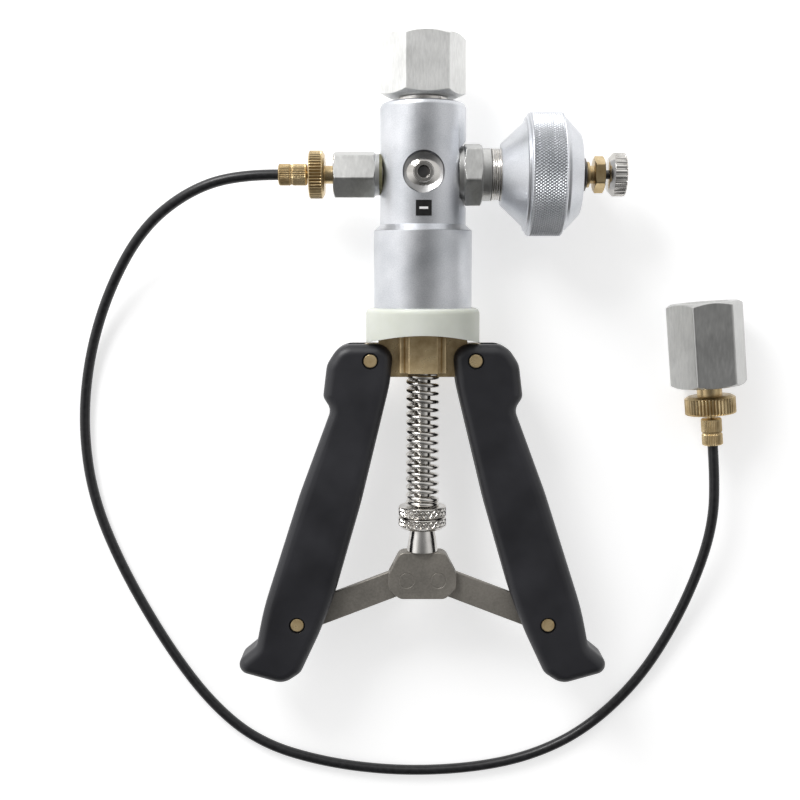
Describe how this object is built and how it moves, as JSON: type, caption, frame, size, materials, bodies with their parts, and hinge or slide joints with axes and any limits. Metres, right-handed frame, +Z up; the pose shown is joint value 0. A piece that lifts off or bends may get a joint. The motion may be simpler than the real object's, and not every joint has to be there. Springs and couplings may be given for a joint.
{
  "type": "hand vacuum pump",
  "caption": "Hand-held pressure and vacuum pump with scissor handles, spring-returned piston, fine-adjust knob, release valve, gauge nut and hose with end adapter.",
  "frame": {"origin": "on the surface that the pump lies on, under the middle of the rigid parts", "axes": "+Y along the pump towards the gauge connector, +X towards the adjusting knob, +Z up"},
  "size_m": [0.2828, 0.3148, 0.049],
  "materials": {
    "satin_aluminium": "bead-blasted, clear anodised",
    "nickel_steel": "matte nickel-plated, fine brushed facets",
    "polished_steel": "polished",
    "clevis_steel": "matte stainless sheet",
    "brass": "machined, semi-matte",
    "black_plastic": "moulded, satin",
    "natural_plastic": "milky, translucent",
    "rubber": "matte seal rubber",
    "olive_rubber": "matte olive seal",
    "dark_steel": "blackened",
    "mark_black": "black film with a plain white sign",
    "hose_black": "smooth nylon hose",
    "white_polymer": "slide bearing polymer"
  },
  "bodies": {
    "pump_body": {"manifold_body": "satin_aluminium", "cylinder_barrel": "satin_aluminium", "barrel_seal": "rubber", "valve_plate": "polished_steel", "inlet_valve": "rubber", "outlet_valve": "rubber", "front_mark_plate": "mark_black", "back_mark_plate": "mark_black", "collar": "natural_plastic", "handle_bracket": "brass", "rod_bush": "white_polymer", "rod_wiper": "rubber", "return_spring": "polished_steel", "pivot_pins": "brass", "gauge_nipple": "polished_steel", "gauge_seal": "rubber", "adjuster_gland": "nickel_steel", "gland_seal": "rubber", "selector_gland_front": "polished_steel", "selector_gland_back": "polished_steel", "hose_adapter": "nickel_steel", "adapter_seal": "olive_rubber", "hose": "hose_black", "hose_end_near": "brass", "hose_end_far": "brass", "end_adapter": "nickel_steel", "end_adapter_seal": "rubber"},
    "rod": {"piston_rod": "polished_steel", "piston": "satin_aluminium", "piston_seals": "rubber", "piston_nut": "polished_steel", "spring_nut": "polished_steel", "lock_nut": "polished_steel", "rod_end": "polished_steel", "clevis": "clevis_steel", "clevis_rivets": "clevis_steel"},
    "link_left": {"link_left": "clevis_steel"},
    "link_right": {"link_right": "clevis_steel"},
    "handle_left": {"handle_left": "black_plastic", "link_pin_left": "brass"},
    "handle_right": {"handle_right": "black_plastic", "link_pin_right": "brass"},
    "gauge_nut": {"gauge_nut": "nickel_steel"},
    "adjuster_stem": {"adjuster_stem": "polished_steel", "plunger_seals": "rubber", "thrust_washer": "dark_steel", "retaining_ring": "dark_steel", "release_body": "brass"},
    "adjuster_knob": {"adjuster_knob": "satin_aluminium"},
    "release_needle": {"release_needle": "dark_steel", "needle_seal": "rubber"},
    "release_knob": {"release_knob": "polished_steel"},
    "selector_spool": {"selector_spool": "dark_steel", "spool_seals": "rubber"},
    "hose_nut_near": {"hose_nut_near": "brass"},
    "hose_nut_far": {"hose_nut_far": "brass"}
  },
  "joints": [
    {"name": "handle_left_squeeze", "type": "hinge", "parent": "pump_body", "child": "handle_left", "pos_m": [-0.0238, 0.00235, 0.0245], "axis": [0, 0, 1], "range_deg": [0, 10.02]},
    {"name": "handle_right_squeeze", "type": "hinge", "parent": "pump_body", "child": "handle_right", "pos_m": [0.0186, 0.00235, 0.0245], "axis": [0, 0, -1], "range_deg": [0, 10.02]},
    {"name": "rod_stroke", "type": "slide", "parent": "pump_body", "child": "rod", "axis": [0, 1, 0], "range_m": [0, 0.0206], "stiffness_N_per_m": 3800, "springref_m": -0.008, "deforming": ["return_spring"]},
    {"name": "link_left_swing", "type": "hinge", "parent": "rod", "child": "link_left", "pos_m": [-0.0091, -0.0889, 0.0245], "axis": [0, 0, 1], "range_deg": [0, 38.2]},
    {"name": "link_right_swing", "type": "hinge", "parent": "rod", "child": "link_right", "pos_m": [0.0039, -0.0889, 0.0245], "axis": [0, 0, -1], "range_deg": [0, 38.2]},
    {"name": "gauge_nut_turn", "type": "hinge", "parent": "pump_body", "child": "gauge_nut", "pos_m": [-0.0026, 0.1192, 0.0245], "axis": [0, 1, 0], "continuous": true},
    {"name": "adjuster_travel", "type": "slide", "parent": "pump_body", "child": "adjuster_stem", "axis": [1, 0, 0], "range_m": [-0.0069, 0.0075]},
    {"name": "adjuster_turn", "type": "hinge", "parent": "adjuster_stem", "child": "adjuster_knob", "pos_m": [0.0454, 0.0768, 0.0245], "axis": [1, 0, 0], "range_deg": [-1657, 1801]},
    {"name": "release_travel", "type": "slide", "parent": "adjuster_stem", "child": "release_needle", "axis": [1, 0, 0], "range_m": [0, 0.00105]},
    {"name": "release_turn", "type": "hinge", "parent": "release_needle", "child": "release_knob", "pos_m": [0.0744, 0.0768, 0.0245], "axis": [1, 0, 0], "range_deg": [0, 541]},
    {"name": "selector_push", "type": "slide", "parent": "pump_body", "child": "selector_spool", "axis": [0, 0, 1], "range_m": [0, 0.004]},
    {"name": "hose_nut_near_turn", "type": "hinge", "parent": "pump_body", "child": "hose_nut_near", "pos_m": [-0.0446, 0.0768, 0.0245], "axis": [1, 0, 0], "continuous": true},
    {"name": "hose_nut_far_turn", "type": "hinge", "parent": "pump_body", "child": "hose_nut_far", "pos_m": [0.11804, -0.01641, 0.014], "axis": [-0.0872, 0.9962, 0], "continuous": true}
  ],
  "couplings": [
    {"joint": "handle_left_squeeze", "follows": "rod_stroke", "rad_per_m": 8.4725},
    {"joint": "handle_right_squeeze", "follows": "rod_stroke", "rad_per_m": 8.4725},
    {"joint": "link_left_swing", "follows": "rod_stroke", "rad_per_m": 32.28},
    {"joint": "link_right_swing", "follows": "rod_stroke", "rad_per_m": 32.28},
    {"joint": "adjuster_turn", "follows": "adjuster_travel", "rad_per_m": 4188.8},
    {"joint": "release_turn", "follows": "release_travel", "rad_per_m": 8976}
  ]
}
